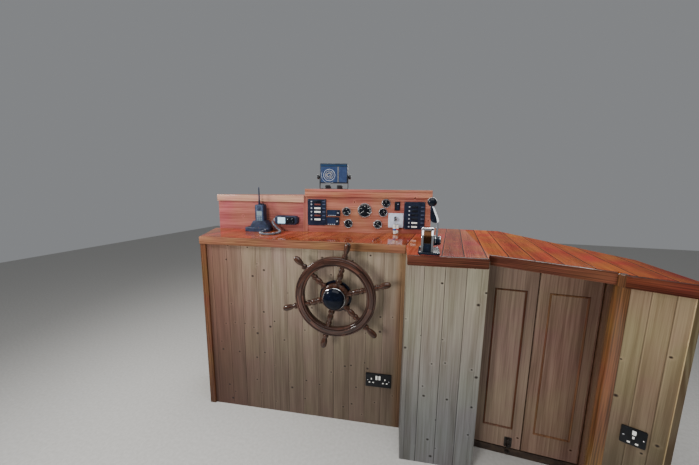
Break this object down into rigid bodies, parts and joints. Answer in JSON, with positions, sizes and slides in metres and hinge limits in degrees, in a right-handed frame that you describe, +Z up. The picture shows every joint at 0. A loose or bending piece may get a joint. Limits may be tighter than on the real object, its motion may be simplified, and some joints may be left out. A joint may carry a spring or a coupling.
{
  "type": "wheelhouse steering console of a fishing trawler",
  "caption": "Built-in pine steering console with spoked ship's wheel, instrument dash, engine control on a pedestal, worktop and two-door locker.",
  "frame": {"origin": "on the deck, under the middle of the console's bounding box", "axes": "+X to starboard along the console, +Y forward to the bulkhead, +Z up"},
  "size_m": [2.326, 1.132, 1.545],
  "materials": {
    "pine": "natural tongue and groove boards, satin",
    "varnished_pine": "gloss varnish over red-brown stain",
    "golden_pine": "gloss varnish",
    "door_veneer": "brown veneer, satin",
    "wheel_wood": "dark gloss varnish",
    "sill": "covered in dark cloth",
    "black_plastic": "satin black",
    "pale_plastic": "pale satin",
    "bezel": "polished rim over a dark dial",
    "chrome": "polished",
    "shaft_steel": "turned",
    "black_iron": "painted black",
    "cord": "matt"
  },
  "bodies": {
    "console": {"port_front_panel": "pine", "port_end_panel": "pine", "back_panel_port": "pine", "back_panel_centre": "pine", "back_panel_stbd": "pine", "stbd_end_panel": "pine", "stbd_counter_panel": "pine", "pedestal_front_panel": "pine", "pedestal_port_side": "pine", "pedestal_stbd_side": "pine", "corner_post": "golden_pine", "locker_face_frame": "door_veneer", "locker_sill": "sill", "worktop_port": "varnished_pine", "worktop_pedestal": "varnished_pine", "worktop_stbd": "varnished_pine", "lip_port": "varnished_pine", "lip_pedestal": "varnished_pine", "lip_locker": "varnished_pine", "lip_stbd": "varnished_pine", "dash_port_face": "varnished_pine", "dash_port_lip": "golden_pine", "dash_port_shelf": "varnished_pine", "dash_back_port": "pine", "dash_divider": "varnished_pine", "dash_main_face": "varnished_pine", "dash_main_lip": "varnished_pine", "dash_main_top": "varnished_pine", "dash_back_main": "pine", "dash_stbd_end": "varnished_pine", "gauge_port_upper": "bezel", "gauge_port_lower": "bezel", "tachometer": "bezel", "gauge_stbd_upper": "bezel", "gauge_stbd_middle": "bezel", "gauge_stbd_lower": "bezel", "switch_panel_port": "black_plastic", "switch_panel_stbd": "black_plastic", "depth_display": "black_plastic", "log_display": "black_plastic", "ignition_plate": "pale_plastic", "plotter_bracket": "black_plastic", "plotter": "black_plastic", "vhf_radio": "black_plastic", "vhf_cord": "cord", "charging_base": "black_plastic", "handheld_radio": "black_plastic", "double_socket": "black_plastic", "single_socket": "black_plastic", "control_housing": "chrome", "wheel_bearing": "black_iron"},
    "helm": {"wheel_shaft": "shaft_steel", "wheel_hub_and_spokes": "wheel_wood", "wheel_rim": "wheel_wood", "wheel_cap": "black_plastic"},
    "control": {"control_lever": "chrome", "control_knob": "black_plastic"},
    "locker_door_port": {"door_port": "door_veneer"},
    "locker_door_stbd": {"door_stbd": "door_veneer"}
  },
  "joints": [
    {"name": "helm_spin", "type": "hinge", "parent": "console", "child": "helm", "pos_m": [-0.15435, -0.3105, 0.818], "axis": [-0.0958, 0.9954, 0], "continuous": true},
    {"name": "control_swing", "type": "hinge", "parent": "console", "child": "control", "pos_m": [0.2955, -0.306, 1.147], "axis": [1, 0, 0], "range_deg": [-55, 55]},
    {"name": "door_port_swing", "type": "hinge", "parent": "console", "child": "locker_door_port", "pos_m": [0.59181, -0.18111, 0.55], "axis": [0, 0, 1], "range_deg": [-95, 0]},
    {"name": "door_stbd_swing", "type": "hinge", "parent": "console", "child": "locker_door_stbd", "pos_m": [1.06722, -0.19771, 0.55], "axis": [0, 0, 1], "range_deg": [0, 58]}
  ]
}
